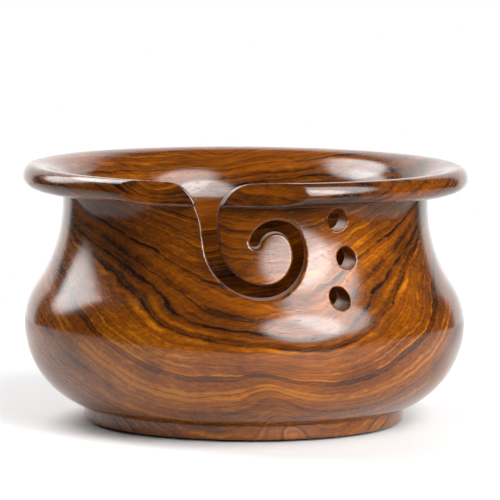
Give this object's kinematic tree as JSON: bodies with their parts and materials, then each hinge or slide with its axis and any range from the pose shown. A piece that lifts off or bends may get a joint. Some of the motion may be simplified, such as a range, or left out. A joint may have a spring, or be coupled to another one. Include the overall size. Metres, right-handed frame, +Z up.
{
  "type": "yarn bowl",
  "caption": "Turned wooden yarn bowl with a wide belly, flared rim, curled slot that guides the yarn, needle holes and felt foot pads.",
  "frame": {"origin": "middle of the surface that the bowl stands on, on the bowl's turning axis", "axes": "+Z up along the turning axis, -Y towards the front wall with the yarn slot, +X towards the needle holes' side"},
  "size_m": [0.178, 0.1771, 0.1031],
  "materials": {
    "wood": "gloss varnish over figured dark hardwood",
    "felt": "dense wool felt"
  },
  "bodies": {
    "root": {"bowl": "wood", "foot_pad_front": "felt", "foot_pad_right": "felt", "foot_pad_back": "felt", "foot_pad_left": "felt"}
  },
  "joints": []
}
